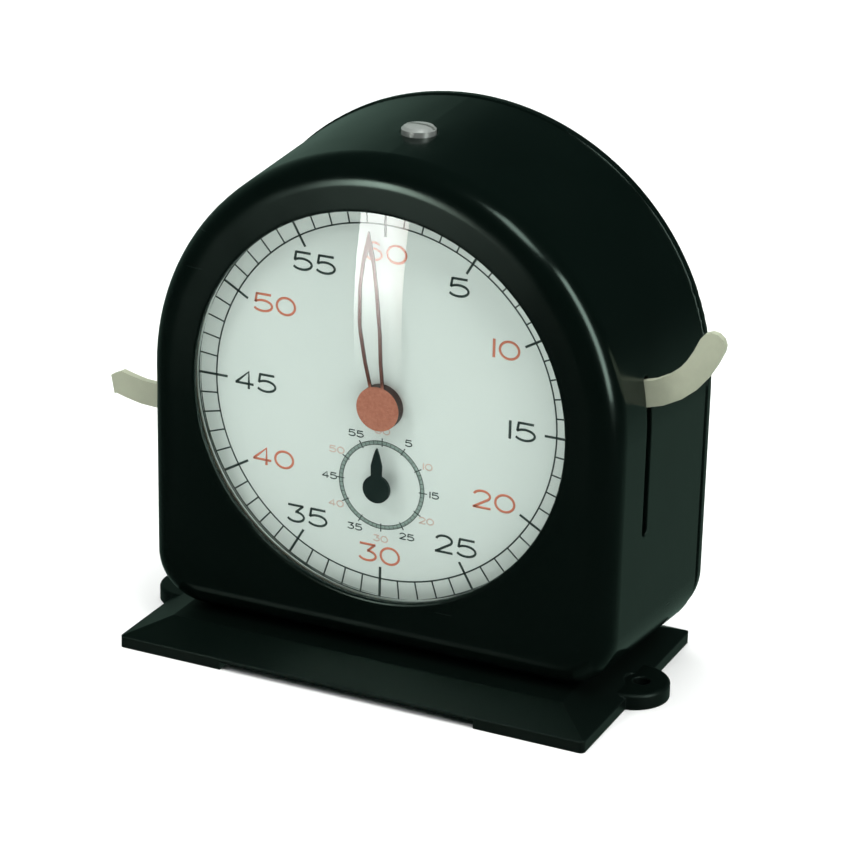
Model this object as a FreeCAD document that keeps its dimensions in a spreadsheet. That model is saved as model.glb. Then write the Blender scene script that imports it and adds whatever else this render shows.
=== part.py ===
import FreeCAD, Part
import math
import os
import Sketcher

# Laboratory seconds timer: a moulded tombstone case on a bevelled plinth with two
# screw ears, a four inch dial under a domed glass, a rocker lever that crosses the
# case, and a hand-wound movement behind the dial.
# Frame: origin midway between the two ear holes on the standing plane, +Z up,
# the dial faces -Y, +X is to the right of someone reading the dial. Millimetres.

V = FreeCAD.Vector
doc = FreeCAD.newDocument("LabTimer")
sheet = doc.addObject("Spreadsheet::Sheet", "Sizes")

SIZES = [
    # case
    ("axis_z", 71.0, "dial centre above the standing plane"),
    ("front_y", -21.5, "front face of the case"),
    ("rear_y", 29.8, "rear edge of the case moulding"),
    ("front_half", 63.1, "half width and arch radius at the front face"),
    ("rear_half", 66.6, "half width and arch radius at the rear edge"),
    ("case_foot_z", 8.0, "underside of the case, inside the plinth top"),
    ("case_corner", 13.0, "lower corner radius of the case"),
    ("wall", 3.5, "moulding wall"),
    ("front_round", 7.0, "rounding of the front edge"),
    ("front_wall_y", -14.0, "inner face of the front wall"),
    ("opening_r", 50.0, "four inch dial opening, radius"),
    ("seat_r", 54.2, "counterbore that holds glass and dial, radius"),
    ("seat_y", -20.2, "bottom of the counterbore, behind the lip"),
    # plinth
    ("plinth_half", 64.0, "half length of the plinth"),
    ("plinth_front", -36.0, "front edge of the plinth"),
    ("plinth_back", 35.0, "rear edge of the plinth"),
    ("rim_z", 3.0, "upright rim of the plinth"),
    ("plinth_top", 7.0, "flat top of the plinth"),
    ("bevel", 10.0, "bevel of the plinth, in plan"),
    ("foot_inner", 35.0, "inner edge of the two feet"),
    ("foot_lift", 2.0, "height of the arch between the feet"),
    ("ear_x", 62.0, "centre of the ear rounding"),
    ("ear_r", 9.5, "ear radius"),
    ("ear_t", 4.0, "ear thickness"),
    ("ear_hole_out", 2.5, "ear hole outside the ear centre"),
    ("ear_hole_r", 2.25, "ear hole radius"),
    # dial stack
    ("dial_y", -16.0, "front face of the dial"),
    ("dial_t", 0.8, "dial thickness"),
    ("dial_gap", 0.4, "radial clearance of the dial in its seat"),
    ("glass_gap", 0.2, "radial clearance of the glass and its rings in the seat"),
    ("glass_t", 1.5, "glass thickness"),
    ("glass_rise", 4.9, "rise of the glass dome"),
    ("ring_t", 2.3, "depth of the flange ring"),
    ("sub_drop", 21.0, "minute dial centre below the dial centre"),
    # rocker lever
    ("lever_y", -3.0, "mid plane of the lever"),
    ("lever_t", 2.0, "lever thickness"),
    ("lever_hh", 3.25, "half height of the lever bar"),
    ("lever_drop", 6.0, "lever pivot below the dial centre"),
    ("lever_rise", 4.0, "rise of the arms at the case wall"),
    ("slot_gap", 0.4, "clearance of the lever in the case slots, each side"),
    ("slot_up", 14.5, "slot top above the dial centre"),
    ("slot_down", 27.0, "slot bottom below the dial centre"),
    # movement
    ("plate_y", 0.0, "front face of the front plate"),
    ("plate_t", 1.5, "plate thickness"),
    ("back_y", 20.0, "front face of the back plate"),
    ("gap", 0.05, "radial clearance of pivots and shafts"),
    ("cover_t", 3.5, "rear cover thickness"),
    ("cover_lip", 0.4, "rear cover proud of the case all round"),
]
NUM = {}
for i, (alias, value, note) in enumerate(SIZES):
    sheet.set("A%d" % (i + 1), alias)
    sheet.set("B%d" % (i + 1), str(value))
    sheet.set("C%d" % (i + 1), note)
    sheet.setAlias("B%d" % (i + 1), alias)
    NUM[alias] = value
doc.recompute()


class Q:
    """A number with the sheet expression that drives it."""

    def __init__(self, value, text, bound=True):
        self.v = float(value)
        self.text = text
        self.bound = bound

    def join(self, other, sign, value):
        b = q(other)
        return Q(value, "(%s %s %s)" % (self.text, sign, b.text), self.bound or b.bound)

    def __add__(self, o):
        return self.join(o, "+", self.v + q(o).v)

    def __radd__(self, o):
        return q(o) + self

    def __sub__(self, o):
        return self.join(o, "-", self.v - q(o).v)

    def __rsub__(self, o):
        return q(o) - self

    def __mul__(self, o):
        return self.join(o, "*", self.v * q(o).v)

    def __rmul__(self, o):
        return q(o) * self

    def __truediv__(self, o):
        return self.join(o, "/", self.v / q(o).v)

    def __neg__(self):
        return q(0.0) - self


def q(value):
    if isinstance(value, Q):
        return value
    if value < 0:
        return Q(value, "(0 - %.6f)" % -value, False)
    return Q(value, "%.6f" % value, False)


S = {alias: Q(value, "Sizes.%s" % alias) for alias, value, note in SIZES}


def bind(obj, prop, value):
    if value.bound:
        obj.setExpression(prop, value.text)


# ------------------------------------------------------------------ sketch helpers
def new_body(label, x=0.0, y=0.0, z=0.0, turn=0.0):
    b = doc.addObject("PartDesign::Body", label)
    b.Label = label
    b.AllowCompound = True
    x, y, z = q(x), q(y), q(z)
    rot = FreeCAD.Rotation(V(0, 1, 0), turn)
    b.Placement = FreeCAD.Placement(V(x.v, y.v, z.v), rot)
    bind(b, "Placement.Base.x", x)
    bind(b, "Placement.Base.y", y)
    bind(b, "Placement.Base.z", z)
    return b


def sketch(body, role, offset=0.0):
    s = body.newObject("Sketcher::SketchObject", body.Name + "_sketch")
    plane = [f for f in body.Origin.OriginFeatures if f.Role == role][0]
    s.AttachmentSupport = [(plane, "")]
    s.MapMode = "FlatFace"
    off = q(offset)
    s.AttachmentOffset = FreeCAD.Placement(V(0, 0, off.v), FreeCAD.Rotation())
    bind(s, "AttachmentOffset.Base.z", off)
    return s


def front_sketch(body, y):
    """Sketch facing the reader at depth y: local x is X, local y is Z."""
    return sketch(body, "XZ_Plane", -q(y))


def pin(s, geo, pos, kind, value):
    value = q(value)
    if abs(value.v) < 1e-9:
        axis = -1 if kind == "DistanceY" else -2
        s.addConstraint(Sketcher.Constraint("PointOnObject", geo, pos, axis))
        return
    if value.v > 0:
        c = Sketcher.Constraint(kind, -1, 1, geo, pos, value.v)
    else:
        c = Sketcher.Constraint(kind, geo, pos, -1, 1, -value.v)
        value = -value
    i = s.addConstraint(c)
    bind(s, "Constraints[%d]" % i, value)


def circle(s, radius, cx=0.0, cy=0.0):
    r, cx, cy = q(radius), q(cx), q(cy)
    g = s.addGeometry(Part.Circle(V(cx.v, cy.v, 0), V(0, 0, 1), r.v), False)
    if abs(cx.v) < 1e-9 and abs(cy.v) < 1e-9:
        s.addConstraint(Sketcher.Constraint("Coincident", g, 3, -1, 1))
    else:
        pin(s, g, 3, "DistanceX", cx)
        pin(s, g, 3, "DistanceY", cy)
    i = s.addConstraint(Sketcher.Constraint("Radius", g, r.v))
    bind(s, "Constraints[%d]" % i, r)


def outline(s, pts, arcs=None):
    """Closed outline; arcs maps an edge index to (radius, turns left)."""
    arcs = arcs or {}
    pts = [(q(a), q(b)) for a, b in pts]
    n = len(pts)
    ends = []
    for i in range(n):
        a = V(pts[i][0].v, pts[i][1].v, 0)
        b = V(pts[(i + 1) % n][0].v, pts[(i + 1) % n][1].v, 0)
        if i not in arcs:
            g = s.addGeometry(Part.LineSegment(a, b), False)
            ends.append((g, 1, 2))
            continue
        radius, left = arcs[i]
        radius = q(radius)
        if not left:
            a, b = b, a
        chord = b - a
        half = chord.Length / 2.0
        h = math.sqrt(max(radius.v ** 2 - half ** 2, 0.0))
        normal = V(-chord.y, chord.x, 0).normalize()
        c = (a + b) * 0.5 + normal * h
        a0 = math.atan2(a.y - c.y, a.x - c.x)
        a1 = math.atan2(b.y - c.y, b.x - c.x)
        if a1 < a0:
            a1 += 2 * math.pi
        ring = Part.Circle(c, V(0, 0, 1), radius.v)
        g = s.addGeometry(Part.ArcOfCircle(ring, a0, a1), False)
        k = s.addConstraint(Sketcher.Constraint("Radius", g, radius.v))
        bind(s, "Constraints[%d]" % k, radius)
        ends.append((g, 1, 2) if left else (g, 2, 1))
    for i in range(n):
        g0, _, e0 = ends[i]
        g1, s1, _ = ends[(i + 1) % n]
        s.addConstraint(Sketcher.Constraint("Coincident", g0, e0, g1, s1))
    for i in range(n):
        g, st, _ = ends[i]
        pin(s, g, st, "DistanceX", pts[i][0])
        pin(s, g, st, "DistanceY", pts[i][1])


def box(s, x0, x1, y0, y1):
    outline(s, [(x0, y0), (x1, y0), (x1, y1), (x0, y1)])


def pad(body, s, length, flip=False):
    f = body.newObject("PartDesign::Pad", body.Name + "_pad")
    f.Profile = s
    length = q(length)
    f.Length = length.v
    bind(f, "Length", length)
    f.Reversed = flip
    body.Tip = f
    return f


def pocket(body, s, length, flip=False):
    f = body.newObject("PartDesign::Pocket", body.Name + "_pocket")
    f.Profile = s
    length = q(length)
    f.Length = length.v
    bind(f, "Length", length)
    f.Reversed = flip
    body.Tip = f
    return f


def pad_y(body, y0, y1, draw):
    """Material between depths y0 and y1, y0 nearer the reader."""
    s = front_sketch(body, y1)
    draw(s)
    return pad(body, s, q(y1) - q(y0))


def cut_y(body, y0, y1, draw):
    s = front_sketch(body, y0)
    draw(s)
    return pocket(body, s, q(y1) - q(y0))


def pad_z(body, z0, z1, draw):
    s = sketch(body, "XY_Plane", z0)
    draw(s)
    return pad(body, s, q(z1) - q(z0))


def cut_z(body, z0, z1, draw):
    """Removes material between heights z0 and z1, sketch at the top."""
    s = sketch(body, "XY_Plane", z1)
    draw(s)
    return pocket(body, s, q(z1) - q(z0))


def revolve(body, role, pts, arcs=None):
    """Turned about the sketch's upright axis: Y on XY_Plane, Z on XZ_Plane."""
    s = sketch(body, role)
    outline(s, pts, arcs)
    f = body.newObject("PartDesign::Revolution", body.Name + "_turned")
    f.Profile = s
    f.ReferenceAxis = (s, ["V_Axis"])
    f.Angle = 360
    body.Tip = f
    return f


def turned(body, steps):
    """Stepped shaft about Y; steps are (y_front, y_rear, radius), front to rear."""
    pts = [(0.0, steps[0][0])]
    for y0, y1, r in steps:
        pts.append((r, y0))
        pts.append((r, y1))
    pts.append((0.0, steps[-1][1]))
    return revolve(body, "XY_Plane", pts)


def polar(body, feature, count, s):
    p = body.newObject("PartDesign::PolarPattern", body.Name + "_ring")
    p.Originals = [feature]
    p.Axis = (s, ["N_Axis"])
    p.Angle = 360
    p.Occurrences = count
    body.Tip = p
    return p


def soften(body, radius, wanted, chamfer=False):
    """Rounds the edges of the tip for which wanted(edge) holds."""
    doc.recompute()
    base = body.Tip
    names = []
    for i, e in enumerate(base.Shape.Edges):
        if wanted(e):
            names.append("Edge%d" % (i + 1))
    if not names:
        raise RuntimeError("no edges to soften on " + body.Label)
    kind = "PartDesign::Chamfer" if chamfer else "PartDesign::Fillet"
    f = body.newObject(kind, body.Name + "_soft")
    f.Base = (base, names)
    r = q(radius)
    if chamfer:
        f.Size = r.v
        bind(f, "Size", r)
    else:
        f.Radius = r.v
        bind(f, "Radius", r)
    body.Tip = f
    return f


def flat_at(axis, value, tol=0.02):
    """Edges that lie wholly at one value of x, y or z."""
    def wanted(e):
        b = e.BoundBox
        lo = getattr(b, axis + "Min")
        hi = getattr(b, axis + "Max")
        return abs(lo - value) < tol and abs(hi - value) < tol
    return wanted


def round_edge(radius, y):
    """Circular edges of one radius at one depth."""
    def wanted(e):
        c = e.Curve
        if not isinstance(c, Part.Circle) or abs(c.Radius - radius) > 0.05:
            return False
        return abs(c.Center.y - y) < 0.05
    return wanted


# ------------------------------------------------------------------ gear helpers
def polar_point(radius, angle):
    return (q(radius) * math.cos(angle), q(radius) * math.sin(angle))


def tooth_space(s, module, teeth, phase):
    """One tooth space; flanks are straight and leave backlash on both sides."""
    pitch_r = module * teeth / 2.0
    tip_r = pitch_r + 0.8 * module
    root_r = pitch_r - 1.05 * module
    step = math.pi / teeth
    pts = [polar_point(root_r, phase - 0.36 * step),
           polar_point(tip_r * 1.02, phase - 0.80 * step),
           polar_point(tip_r * 1.25, phase),
           polar_point(tip_r * 1.02, phase + 0.80 * step),
           polar_point(root_r, phase + 0.36 * step)]
    outline(s, pts)


def cut_teeth(body, module, teeth, y0, y1, phase):
    s = front_sketch(body, y0)
    tooth_space(s, module, teeth, phase)
    f = pocket(body, s, q(y1) - q(y0))
    return polar(body, f, teeth, s)


def mesh_phase(line_angle, first_phase, first_teeth, second_teeth):
    """Phase of the second gear so that its space faces a tooth of the first."""
    pitch = 2 * math.pi / first_teeth
    tooth = first_phase + pitch / 2.0
    late = (line_angle - tooth) % pitch
    return line_angle + math.pi + late * first_teeth / second_teeth


def wheel(label, at, module, teeth, y0, y1, bore, phase, arms=5):
    """A crossed-out train wheel."""
    b = new_body(label, at[0], 0.0, at[1])
    tip_r = module * teeth / 2.0 + 0.8 * module
    rim_r = module * teeth / 2.0 - 1.05 * module - 1.6
    hub_r = max(2.6, bore + 1.4)

    def blank(s):
        circle(s, tip_r)
        circle(s, bore)
    pad_y(b, y0, y1, blank)
    if arms:
        half = math.pi / arms
        lean_o = 0.75 / rim_r
        lean_i = 0.95 / hub_r
        s = front_sketch(b, y0)
        pts = [polar_point(hub_r, -half + lean_i), polar_point(rim_r, -half + lean_o),
               polar_point(rim_r, half - lean_o), polar_point(hub_r, half - lean_i)]
        outline(s, pts, {1: (rim_r, True), 3: (hub_r, False)})
        f = pocket(b, s, q(y1) - q(y0))
        polar(b, f, arms, s)
    cut_teeth(b, module, teeth, y0, y1, phase)
    return b


def arbor(label, at, steps, pinions=()):
    """A turned arbor; pinions are (module, leaves, y0, y1, phase)."""
    b = new_body(label, at[0], 0.0, at[1])
    turned(b, steps)
    for module, leaves, y0, y1, phase in pinions:
        cut_teeth(b, module, leaves, y0, y1, phase)
    return b


def tip_radius(module, teeth):
    return module * teeth / 2.0 + 0.8 * module


# ------------------------------------------------------------------ places
cz = S["axis_z"]
CENTRE = (0.0, cz)
MINUTE = (0.0, cz - S["sub_drop"])
PIVOT = (0.0, cz - S["lever_drop"])
M_SECOND = 0.50
M_GREAT = 0.70
M_ESCAPE = 0.42
M_REC = 0.50


def away(origin, distance, degrees):
    a = math.radians(degrees)
    return (q(origin[0]) + distance * math.cos(a), q(origin[1]) + distance * math.sin(a))


SECOND = away(CENTRE, M_SECOND * 35, 150.0)
BARREL = away(SECOND, M_GREAT * 35, 262.0)
ESCAPE = away(CENTRE, M_ESCAPE * 42, 35.0)
PALLET = away(ESCAPE, 11.96, -30.1)
BALANCE = away(PALLET, 14.46, -77.2)
RECORD = away(CENTRE, M_REC * 42.5, -133.0)
dx = RECORD[0].v
dz = MINUTE[1].v - RECORD[1].v
REC_MIN_ANGLE = math.atan2(dz, -dx)
M_MIN = math.hypot(dx, dz) / 36.0

fy = S["front_y"]
ry = S["rear_y"]
wall = S["wall"]
py = S["plate_y"]
pt = S["plate_t"]
by = S["back_y"]
gap = S["gap"]


def half_at(y):
    """Half width of the case at depth y."""
    slope = (S["rear_half"] - S["front_half"]) / (ry - fy)
    return S["front_half"] + (q(y) - fy) * slope


def tombstone(s, w, zb, rc):
    w, zb, rc = q(w), q(zb), q(rc)
    pts = [(-(w - rc), zb), (w - rc, zb), (w, zb + rc), (w, cz), (0.0, cz + w),
           (-w, cz), (-w, zb + rc)]
    arcs = {1: (rc, True), 3: (w, True), 4: (w, True), 6: (rc, True)}
    outline(s, pts, arcs)


def loft(body, kind, s0, s1):
    f = body.newObject("PartDesign::" + kind, body.Name + "_loft")
    f.Profile = s0
    f.Sections = [s1]
    f.Ruled = True
    body.Tip = f
    return f


BOSS = [(38.0, cz - 50.0), (-38.0, cz - 50.0)]
fix_up = S["rear_half"] * 0.6366
fix_out = S["rear_half"] - 8.6
fix_low = S["case_foot_z"] + 16.0
COVER_FIX = [(fix_up, cz + fix_up), (-fix_up, cz + fix_up), (fix_out, fix_low), (-fix_out, fix_low)]
PILLARS = [(36.0, cz - 36.0), (-36.0, cz - 36.0), (36.0, cz + 29.0), (-36.0, cz + 29.0)]
FEET = [(24.0, cz + 29.0), (-38.0, cz - 27.0), (38.0, cz - 27.0)]
POSTS = [(8.0, cz - 27.0), (-32.0, cz - 28.0)]
DETENT = (21.0, cz - 22.5)
HANGER = (0.0, cz + 30.5)
SCREW_Y = 1.0
FINGER = (16.0, 1.0)


def many(radius, places):
    def draw(s):
        for x, z in places:
            circle(s, radius, x, z)
    return draw


def slots(width, length, places):
    """Driver slots, one across each head."""
    def draw(s):
        for x, z in places:
            box(s, x - length, x + length, z - width, z + width)
    return draw


# ------------------------------------------------------------------ case moulding
case = new_body("case_shell")
TAPER = "atan((Sizes.rear_half - Sizes.front_half) / (Sizes.rear_y - Sizes.front_y))"
growth = S["rear_half"] - S["front_half"]
s = front_sketch(case, fy)
tombstone(s, S["front_half"], S["case_foot_z"], S["case_corner"])
shell = pad(case, s, ry - fy, flip=True)
shell.setExpression("TaperAngle", TAPER)
soften(case, S["front_round"], flat_at("Y", NUM["front_y"]))

px = S["plinth_half"]
pf = S["plinth_front"]
pb = S["plinth_back"]
bev = S["bevel"]


def plan(s, inset):
    box(s, -px + inset, px - inset, pf + inset, pb - inset)


pad_z(case, 0.0, S["rim_z"], lambda s: plan(s, q(0.0)))
s0 = sketch(case, "XY_Plane", S["rim_z"])
plan(s0, q(0.0))
s1 = sketch(case, "XY_Plane", S["plinth_top"])
plan(s1, bev)
loft(case, "AdditiveLoft", s0, s1)


def plinth_corner(e):
    b = e.BoundBox
    upright = b.ZMin < 0.01 and abs(b.ZMax - NUM["rim_z"]) < 0.01
    return upright and b.XLength < 0.01 and b.YLength < 0.01


soften(case, 1.2, plinth_corner)


def ears(s):
    circle(s, S["ear_r"], S["ear_x"], 0.0)
    circle(s, S["ear_r"], -S["ear_x"], 0.0)


pad_z(case, 0.0, S["ear_t"], ears)
soften(case, 0.8, lambda e: flat_at("Z", NUM["ear_t"])(e) and e.BoundBox.XLength > 4.0
       and abs(e.BoundBox.Center.x) > 60.0)

# arch between the two feet
fi = S["foot_inner"]
cut_z(case, 0.0, S["foot_lift"], lambda s: box(s, -fi, fi, pf - 1.0, pb + 1.0))

# cavity, dial opening and the counterbore behind its lip
s = front_sketch(case, S["front_wall_y"])
w0 = half_at(S["front_wall_y"]) - wall
tombstone(s, w0, S["case_foot_z"] + 3.2, S["case_corner"] - 2.0)
hollow_out = pocket(case, s, ry + 1.0 - S["front_wall_y"])
hollow_out.setExpression("TaperAngle", TAPER)
inset = q(5.0)
cut_z(case, 0.0, 3.5, lambda s: box(s, -px + 7.0, px - 7.0, pf + inset, pb - inset))
cut_y(case, S["seat_y"], S["front_wall_y"] + 0.01, lambda s: circle(s, S["seat_r"], 0.0, cz))
cut_y(case, fy - 1.0, S["seat_y"] + 0.01, lambda s: circle(s, S["opening_r"], 0.0, cz))
soften(case, 0.7, round_edge(NUM["opening_r"], NUM["front_y"]))

# bosses: two for the movement, four for the rear cover
pad_y(case, S["front_wall_y"] - 0.5, py, many(4.2, BOSS))
cut_y(case, py - 11.0, py, many(1.2, BOSS))
pad_y(case, 14.0, ry, many(4.5, COVER_FIX))
cut_y(case, ry - 13.0, ry + 0.01, many(1.2, COVER_FIX))

# slots for the lever through both side walls
hw = S["lever_t"] * 0.5 + S["slot_gap"]
ly = S["lever_y"]
zt = cz + S["slot_up"]
zd = cz - S["slot_down"]
s = sketch(case, "YZ_Plane", 75.0)
pts = [(ly - hw, zd + hw), (ly, zd), (ly + hw, zd + hw), (ly + hw, zt - hw), (ly, zt),
       (ly - hw, zt - hw)]
outline(s, pts, {0: (hw, True), 1: (hw, True), 3: (hw, True), 4: (hw, True)})
pocket(case, s, 150.0)

# screw hole and seat in the crown, ear holes and their seats
crown = cz + half_at(SCREW_Y)
cut_z(case, crown - 8.0, crown + 3.0, lambda s: circle(s, 1.95, 0.0, SCREW_Y))
cut_z(case, crown - 0.35, crown + 3.0, lambda s: circle(s, 4.7, 0.0, SCREW_Y))
eh = S["ear_x"] + S["ear_hole_out"]


def ear_holes(radius):
    def draw(s):
        circle(s, radius, eh, 0.0)
        circle(s, radius, -eh, 0.0)
    return draw


cut_z(case, -0.5, S["ear_t"] + 2.0, ear_holes(S["ear_hole_r"]))
cut_z(case, S["ear_t"], S["ear_t"] + 6.0, ear_holes(4.4))

# ------------------------------------------------------------------ rear cover
cover = new_body("rear_cover")
ct = S["cover_t"]
cy = ry + ct
pad_y(cover, ry, cy, lambda s: tombstone(s, S["rear_half"] + S["cover_lip"],
                                         S["case_foot_z"] - 2.4, S["case_corner"] + growth))
soften(cover, 1.2, flat_at("Y", NUM["rear_y"] + NUM["cover_t"]))
soften(cover, 0.8, flat_at("Y", NUM["rear_y"]))
cut_y(cover, ry - 1.0, cy + 1.0, many(1.6, COVER_FIX))
cut_y(cover, ry - 1.0, cy + 1.0, lambda s: circle(s, 3.0, BARREL[0], BARREL[1]))
cut_y(cover, ry - 1.0, cy + 1.0, lambda s: circle(s, 2.5, 0.0, cz))

cover_screws = new_body("rear_cover_screws")
pad_y(cover_screws, ry - 8.0, cy, many(1.15, COVER_FIX))
pad_y(cover_screws, cy, cy + 1.8, many(3.0, COVER_FIX))
cut_y(cover_screws, cy + 0.9, cy + 2.0, slots(0.4, 3.5, COVER_FIX))

# ------------------------------------------------------------------ crown screw
head_z = crown - 0.35
top_screw = new_body("top_screw", 0.0, SCREW_Y, 0.0)
pts = [(0.0, head_z - 7.5), (1.85, head_z - 7.5), (1.85, head_z), (4.3, head_z),
       (4.3, head_z + 1.3), (3.6, head_z + 2.0), (2.2, head_z + 2.4), (0.0, head_z + 2.5)]
revolve(top_screw, "XZ_Plane", pts)
cut_z(top_screw, head_z + 1.2, head_z + 3.0, lambda s: box(s, -5.0, 5.0, -0.55, 0.55))

# ------------------------------------------------------------------ glass, ring, dial
sy = S["seat_y"]
dy = S["dial_y"]
gasket_t = (dy - S["ring_t"] - S["glass_t"]) - sy
gasket = new_body("crystal_gasket", 0.0, 0.0, cz)


def ring(outer, inner):
    def draw(s):
        circle(s, outer)
        circle(s, inner)
    return draw


glass_out = S["seat_r"] - S["glass_gap"]
pad_y(gasket, sy, sy + gasket_t, ring(glass_out, S["opening_r"] + 0.3))

glass = new_body("crystal", 0.0, 0.0, cz)
gy = sy + gasket_t
gt = S["glass_t"]
rise = S["glass_rise"]
dome_r = S["opening_r"] - 0.4
dome_R = (dome_r * dome_r + rise * rise) / (2.0 * rise)
pts = [(0.0, gy - rise), (dome_r, gy), (glass_out, gy), (glass_out, gy + gt), (dome_r, gy + gt),
       (0.0, gy + gt - rise)]
revolve(glass, "XY_Plane", pts, {0: (dome_R, True), 4: (dome_R, False)})

flange = new_body("flange_ring", 0.0, 0.0, cz)
ringy = gy + gt
pts = [(S["opening_r"] + 0.5, ringy), (glass_out, ringy), (glass_out, dy),
       (S["opening_r"] + 1.3, dy)]
revolve(flange, "XY_Plane", pts)

dial = new_body("dial_plate", 0.0, 0.0, cz)
drop = S["sub_drop"]


def dial_face(s):
    circle(s, S["seat_r"] - S["dial_gap"])
    circle(s, 1.9)
    circle(s, 1.4, 0.0, -drop)


pad_y(dial, dy, dy + S["dial_t"], dial_face)

feet = new_body("dial_feet")
pad_y(feet, dy + S["dial_t"], py, many(1.7, FEET))
cut_y(feet, py - 5.0, py + 0.01, many(0.85, FEET))
feet_screws = new_body("dial_feet_screws")
pad_y(feet_screws, py - 4.0, py + pt, many(0.8, FEET))
pad_y(feet_screws, py + pt, py + pt + 1.2, many(2.2, FEET))
cut_y(feet_screws, py + pt + 0.6, py + pt + 2.0, slots(0.25, 2.6, FEET))

# ------------------------------------------------------------------ movement plates
b_at = (BARREL[0], BARREL[1])
front = new_body("front_plate")
ph = 44.0
pts = [(-ph, cz - 56.0), (ph, cz - 56.0), (ph, cz + 30.0), (ph - 8.0, cz + 36.0),
       (8.0 - ph, cz + 36.0), (-ph, cz + 30.0)]
pad_y(front, py, py + pt, lambda s: outline(s, pts))


def front_holes(s):
    for x, z in BOSS:
        circle(s, 1.6, x, z)
    for x, z in PILLARS:
        circle(s, 1.5, x, z)
    for x, z in FEET:
        circle(s, 0.85, x, z)
    for x, z in POSTS:
        circle(s, 1.0, x, z)
    circle(s, 1.2 + gap, 0.0, cz)
    circle(s, 1.5 + gap, BARREL[0], BARREL[1])
    for at in (SECOND, ESCAPE, PALLET, BALANCE, RECORD):
        circle(s, 0.6 + gap, at[0], at[1])
    circle(s, 1.4, 0.0, PIVOT[1])
    circle(s, 1.0, DETENT[0], DETENT[1])
    circle(s, 1.0, HANGER[0], HANGER[1])
    box(s, 13.6, 18.0, PIVOT[1] - 4.2, PIVOT[1] + 6.2)


cut_y(front, py - 0.5, py + pt + 0.5, front_holes)

back = new_body("back_plate")
bh = 40.0
pts_b = [(-bh, cz - 41.0), (bh, cz - 41.0), (bh, cz + 30.0), (bh - 6.0, cz + 35.0),
         (6.0 - bh, cz + 35.0), (-bh, cz + 30.0)]
pad_y(back, by, by + pt, lambda s: outline(s, pts_b))
CLICK = away(BARREL, 11.5, 100.0)
SPRING_AT = away(CLICK, 9.0, 150.0)


def back_holes(s):
    for x, z in PILLARS:
        circle(s, 1.05, x, z)
    circle(s, 1.2 + gap, 0.0, cz)
    circle(s, 2.0 + gap, BARREL[0], BARREL[1])
    for at in (SECOND, ESCAPE, PALLET, BALANCE):
        circle(s, 0.6 + gap, at[0], at[1])
    circle(s, 1.0, CLICK[0], CLICK[1])
    circle(s, 1.0, SPRING_AT[0], SPRING_AT[1])


cut_y(back, by - 0.5, by + pt + 0.5, back_holes)

pillars = new_body("plate_pillars")
pad_y(pillars, py + pt, by, many(2.4, PILLARS))
pad_y(pillars, py, py + pt + 0.01, many(1.5, PILLARS))
cut_y(pillars, by - 7.0, by + 0.01, many(1.05, PILLARS))
pillar_screws = new_body("pillar_screws")
pad_y(pillar_screws, by - 6.0, by + pt, many(1.0, PILLARS))
pad_y(pillar_screws, by + pt, by + pt + 1.4, many(2.4, PILLARS))
cut_y(pillar_screws, by + pt + 0.7, by + pt + 2.0, slots(0.3, 2.8, PILLARS))

fix = new_body("movement_screws")
pad_y(fix, py - 9.0, py + pt, many(1.15, BOSS))
pad_y(fix, py + pt, py + pt + 1.8, many(3.0, BOSS))
cut_y(fix, py + pt + 0.9, py + pt + 2.0, slots(0.35, 3.4, BOSS))

# bracket that hangs the movement from the crown screw
bracket = new_body("top_bracket")
tab_z = crown - 5.4
pad_y(bracket, py + pt, py + pt + 1.5, lambda s: box(s, -6.0, 6.0, HANGER[1] - 4.5, tab_z))
pad_z(bracket, tab_z - 2.0, tab_z, lambda s: box(s, -6.0, 6.0, SCREW_Y - 5.0, py + pt + 1.5))
cut_z(bracket, tab_z - 3.0, tab_z + 1.0, lambda s: circle(s, 1.9, 0.0, SCREW_Y))
cut_y(bracket, py + pt - 0.5, py + pt + 2.0, lambda s: circle(s, 1.3, HANGER[0], HANGER[1]))
bracket_screw = new_body("bracket_screw", HANGER[0], 0.0, HANGER[1])
turned(bracket_screw, [(py, py + pt + 1.5, 0.95), (py + pt + 1.5, py + pt + 2.9, 2.5)])
cut_y(bracket_screw, py + pt + 2.2, py + pt + 4.0, lambda s: box(s, -3.0, 3.0, -0.3, 0.3))

# ------------------------------------------------------------------ rocker lever
TILT = 10.5
lever = new_body("rocker_lever", 0.0, 0.0, PIVOT[1], -TILT)
lh = S["lever_hh"]
lr = S["lever_rise"]
lt = S["lever_t"]
right = [(0.0, 0.0), (30.0, 1.6), (62.0, lr), (68.6, lr + 0.6), (73.0, lr + 2.0),
         (76.4, lr + 3.9), (79.2, lr + 6.3), (81.5, lr + 9.0), (83.6, lr + 12.0)]
left = [(-82.0, lr + 4.4), (-79.0, lr + 3.0), (-75.6, lr + 1.6), (-71.6, lr + 0.6),
        (-66.0, lr), (-62.0, lr), (-30.0, 1.6)]
spine = [(q(a), q(b)) for a, b in left + right]
upper = []
lower = []
for i, (a, b) in enumerate(spine):
    a0, b0 = spine[max(i - 1, 0)]
    a1, b1 = spine[min(i + 1, len(spine) - 1)]
    run = math.hypot(a1.v - a0.v, b1.v - b0.v)
    nx = -(b1.v - b0.v) / run
    nz = (a1.v - a0.v) / run
    upper.append((a + lh * nx, b + lh * nz))
    lower.append((a - lh * nx, b - lh * nz))
a, b = spine[-1]
run = math.hypot(2.1, 3.0)
tx = 2.1 / run
tz = 3.0 / run
cap = []
for deg in (60, 30, 0, -30, -60):
    u = math.cos(math.radians(deg))
    n = math.sin(math.radians(deg))
    cap.append((a + lh * (u * tx - n * tz), b + lh * (u * tz + n * tx)))
cap.reverse()
a, b = spine[0]
end = [(a - lh * 0.62, b + lh * 0.62), (a - lh * 0.62, b - lh * 0.95)]
shape = lower + cap + list(reversed(upper)) + end
pad_y(lever, ly - lt / 2.0, ly + lt / 2.0, lambda s: outline(s, shape))
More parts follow.
